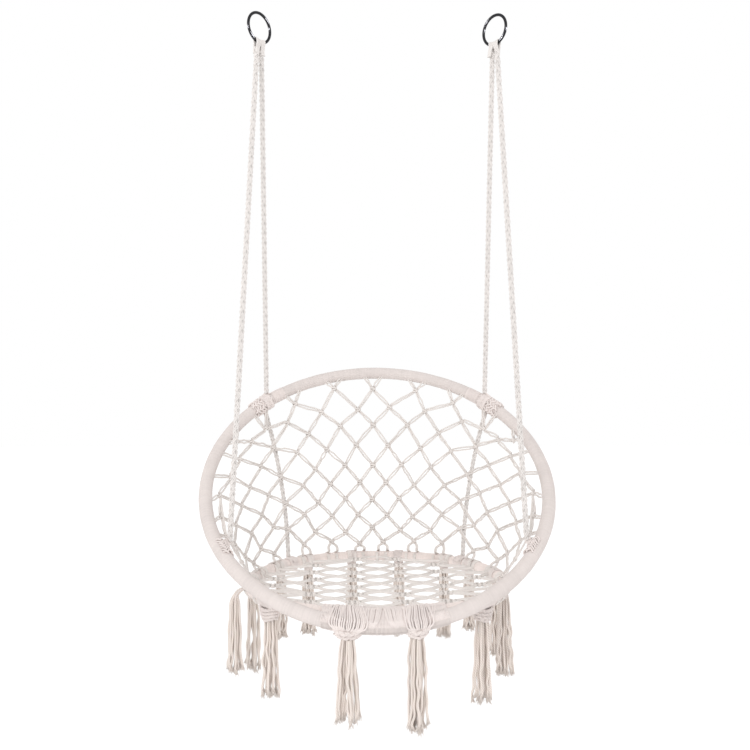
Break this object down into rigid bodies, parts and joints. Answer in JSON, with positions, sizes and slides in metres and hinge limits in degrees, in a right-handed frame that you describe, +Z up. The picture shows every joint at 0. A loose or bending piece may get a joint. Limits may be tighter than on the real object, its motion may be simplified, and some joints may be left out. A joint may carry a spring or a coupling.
{
  "type": "macrame hanging chair",
  "caption": "Hanging chair of cord-wound steel hoops joined by a knotted net, hung on ropes from steel rings, with tassels round the seat.",
  "frame": {"origin": "midway between the highest inside points of the two hanging rings, where the hooks bear", "axes": "+X to the right of someone looking at the front, +Y to the back of the chair, +Z up"},
  "size_m": [0.8, 0.6421, 1.5323],
  "materials": {
    "ring_steel": "polished",
    "tube_steel": "bare steel tube",
    "wound_cover": "tightly wound cotton cord",
    "rope": "braided cotton rope",
    "net_cord": "knotted twisted cotton cord",
    "lashing_cord": "wrapped cotton cord",
    "tassel_cord": "loose cotton strands with frayed ends"
  },
  "bodies": {
    "rings": {"left_hanging_ring": "ring_steel", "right_hanging_ring": "ring_steel"},
    "backrest": {"left_front_rope": "rope", "left_rear_rope": "rope", "left_rear_rope_lower": "rope", "left_rear_hoop_lashing": "lashing_cord", "left_front_hoop_lashing": "lashing_cord", "right_front_rope": "rope", "right_rear_rope": "rope", "right_rear_rope_lower": "rope", "right_rear_hoop_lashing": "lashing_cord", "right_front_hoop_lashing": "lashing_cord", "hoop_steel_tube": "tube_steel", "hoop_cover": "wound_cover", "hoop_front_binding": "lashing_cord", "back_net": "net_cord", "centre_left_knot": "lashing_cord", "centre_right_knot": "lashing_cord"},
    "seat": {"left_seat_lashing": "lashing_cord", "right_seat_lashing": "lashing_cord", "seat_steel_tube": "tube_steel", "seat_ring_cover": "wound_cover", "seat_front_binding": "lashing_cord", "seat_net": "net_cord", "rear_right_inner_hitch": "lashing_cord", "rear_left_inner_hitch": "lashing_cord", "rear_right_middle_hitch": "lashing_cord", "rear_left_middle_hitch": "lashing_cord", "rear_right_outer_hitch": "lashing_cord", "rear_left_outer_hitch": "lashing_cord", "right_side_rear_hitch": "lashing_cord", "left_side_rear_hitch": "lashing_cord", "right_side_front_hitch": "lashing_cord", "left_side_front_hitch": "lashing_cord", "front_right_hitch": "lashing_cord", "front_left_hitch": "lashing_cord"},
    "rear_right_inner_tassel": {"rear_right_inner_tassel": "tassel_cord"},
    "rear_left_inner_tassel": {"rear_left_inner_tassel": "tassel_cord"},
    "rear_right_middle_tassel": {"rear_right_middle_tassel": "tassel_cord"},
    "rear_left_middle_tassel": {"rear_left_middle_tassel": "tassel_cord"},
    "rear_right_outer_tassel": {"rear_right_outer_tassel": "tassel_cord"},
    "rear_left_outer_tassel": {"rear_left_outer_tassel": "tassel_cord"},
    "right_side_rear_tassel": {"right_side_rear_tassel": "tassel_cord"},
    "left_side_rear_tassel": {"left_side_rear_tassel": "tassel_cord"},
    "right_side_front_tassel": {"right_side_front_tassel": "tassel_cord"},
    "left_side_front_tassel": {"left_side_front_tassel": "tassel_cord"},
    "front_right_tassel": {"front_right_tassel": "tassel_cord"},
    "front_left_tassel": {"front_left_tassel": "tassel_cord"},
    "centre_left_tassel": {"centre_left_tassel": "tassel_cord"},
    "centre_right_tassel": {"centre_right_tassel": "tassel_cord"}
  },
  "joints": [
    {"name": "swing", "type": "hinge", "parent": "rings", "child": "backrest", "pos_m": [0, 0, -0.0633], "axis": [1, 0, 0], "range_deg": [-22, 22]},
    {"name": "seat_fold", "type": "hinge", "parent": "backrest", "child": "seat", "pos_m": [0, -0.29045, -1.29084], "axis": [1, 0, 0], "range_deg": [0, 40], "deforming": ["back_net", "left_rear_rope_lower", "right_rear_rope_lower"]},
    {"name": "rear_right_inner_tassel_swing", "type": "hinge", "parent": "seat", "child": "rear_right_inner_tassel", "pos_m": [0.06201, 0.27561, -1.32968], "axis": [0.9763, -0.2164, 0], "range_deg": [-35, 35]},
    {"name": "rear_left_inner_tassel_swing", "type": "hinge", "parent": "seat", "child": "rear_left_inner_tassel", "pos_m": [-0.06201, 0.27561, -1.32968], "axis": [0.9763, 0.2164, 0], "range_deg": [-35, 35]},
    {"name": "rear_right_middle_tassel_swing", "type": "hinge", "parent": "seat", "child": "rear_right_middle_tassel", "pos_m": [0.17639, 0.22168, -1.32841], "axis": [0.788, -0.6157, 0], "range_deg": [-35, 35]},
    {"name": "rear_left_middle_tassel_swing", "type": "hinge", "parent": "seat", "child": "rear_left_middle_tassel", "pos_m": [-0.17242, 0.22472, -1.32848], "axis": [0.7986, 0.6018, 0], "range_deg": [-35, 35]},
    {"name": "rear_right_outer_tassel_swing", "type": "hinge", "parent": "seat", "child": "rear_right_outer_tassel", "pos_m": [0.23324, 0.1623, -1.32701], "axis": [0.5807, -0.8141, 0], "range_deg": [-35, 35]},
    {"name": "rear_left_outer_tassel_swing", "type": "hinge", "parent": "seat", "child": "rear_left_outer_tassel", "pos_m": [-0.23752, 0.15614, -1.32687], "axis": [0.5592, 0.829, 0], "range_deg": [-35, 35]},
    {"name": "right_side_rear_tassel_swing", "type": "hinge", "parent": "seat", "child": "right_side_rear_tassel", "pos_m": [0.28215, 0.04571, -1.32426], "axis": [0.1736, -0.9848, 0], "range_deg": [-35, 35]},
    {"name": "left_side_rear_tassel_swing", "type": "hinge", "parent": "seat", "child": "left_side_rear_tassel", "pos_m": [-0.28632, 0.00597, -1.32333], "axis": [0.0349, 0.9994, 0], "range_deg": [-35, 35]},
    {"name": "right_side_front_tassel_swing", "type": "hinge", "parent": "seat", "child": "right_side_front_tassel", "pos_m": [0.27799, -0.07332, -1.32146], "axis": [-0.2419, -0.9703, 0], "range_deg": [-35, 35]},
    {"name": "left_side_front_tassel_swing", "type": "hinge", "parent": "seat", "child": "left_side_front_tassel", "pos_m": [-0.29847, -0.08959, -1.31158], "axis": [-0.2756, 0.9613, 0], "range_deg": [-35, 35]},
    {"name": "front_right_tassel_swing", "type": "hinge", "parent": "seat", "child": "front_right_tassel", "pos_m": [0.21291, -0.19568, -1.31858], "axis": [-0.6691, -0.7431, 0], "range_deg": [-35, 35]},
    {"name": "front_left_tassel_swing", "type": "hinge", "parent": "seat", "child": "front_left_tassel", "pos_m": [-0.22576, -0.18036, -1.31894], "axis": [-0.6157, 0.788, 0], "range_deg": [-35, 35]},
    {"name": "centre_left_tassel_swing", "type": "hinge", "parent": "backrest", "child": "centre_left_tassel", "pos_m": [-0.06173, -0.32216, -1.33862], "axis": [-1, 0, 0], "range_deg": [-35, 35]},
    {"name": "centre_right_tassel_swing", "type": "hinge", "parent": "backrest", "child": "centre_right_tassel", "pos_m": [0.06961, -0.3211, -1.33777], "axis": [-1, 0, 0], "range_deg": [-35, 35]}
  ]
}
